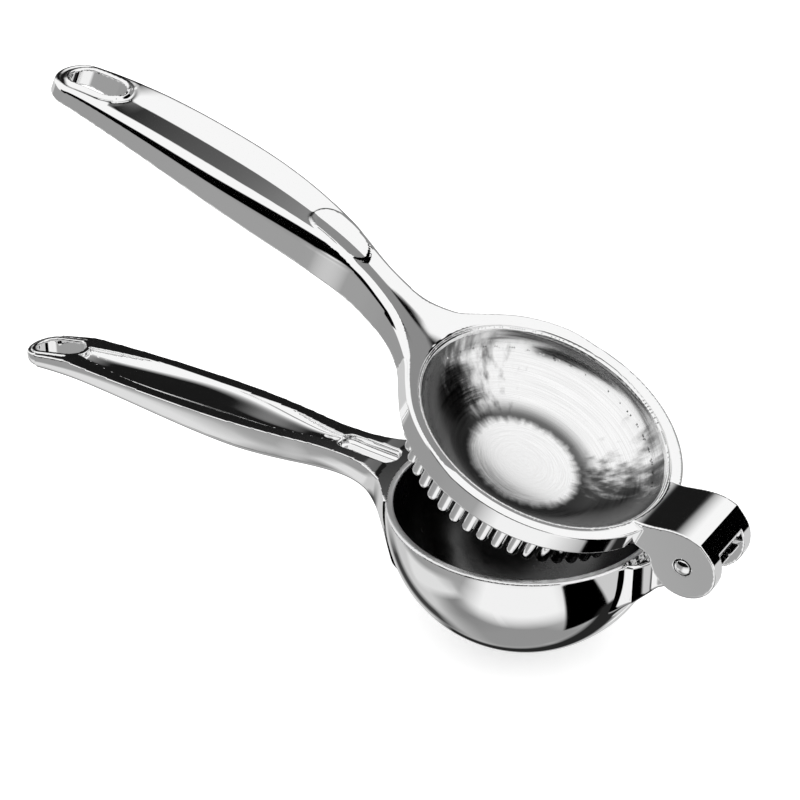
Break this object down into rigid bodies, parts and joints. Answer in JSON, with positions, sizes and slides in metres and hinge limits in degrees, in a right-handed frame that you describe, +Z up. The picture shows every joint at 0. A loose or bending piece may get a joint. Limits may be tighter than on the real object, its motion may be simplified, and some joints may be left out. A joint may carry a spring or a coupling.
{
  "type": "citrus squeezer",
  "caption": "Hand-held hinged citrus squeezer in polished stainless steel: a fluted press cup on the upper arm closes into a drained bowl on the lower arm.",
  "frame": {"origin": "centre of the flat foot under the bowl", "axes": "+X from the bowl towards the hinge, so that both handles point along -X; +Y along the hinge pin; +Z up out of the bowl, with the bowl's rim level"},
  "size_m": [0.2163, 0.0734, 0.1222],
  "materials": {
    "polished_steel": "mirror polished stainless steel",
    "satin_steel": "turned satin stainless steel",
    "bowl_steel": "polished outside, brushed inside",
    "pin_steel": "polished"
  },
  "bodies": {
    "lower_arm": {"lower_handle": "polished_steel", "strainer_bowl": "bowl_steel", "hinge_knuckle": "polished_steel"},
    "press_arm": {"upper_arm": "polished_steel", "press_cup": "satin_steel", "hinge_pin": "pin_steel"}
  },
  "joints": [
    {"name": "arm_hinge", "type": "hinge", "parent": "lower_arm", "child": "press_arm", "pos_m": [0.048, 0, 0.04139], "axis": [0, 1, 0], "range_deg": [-23.5, 110]}
  ]
}
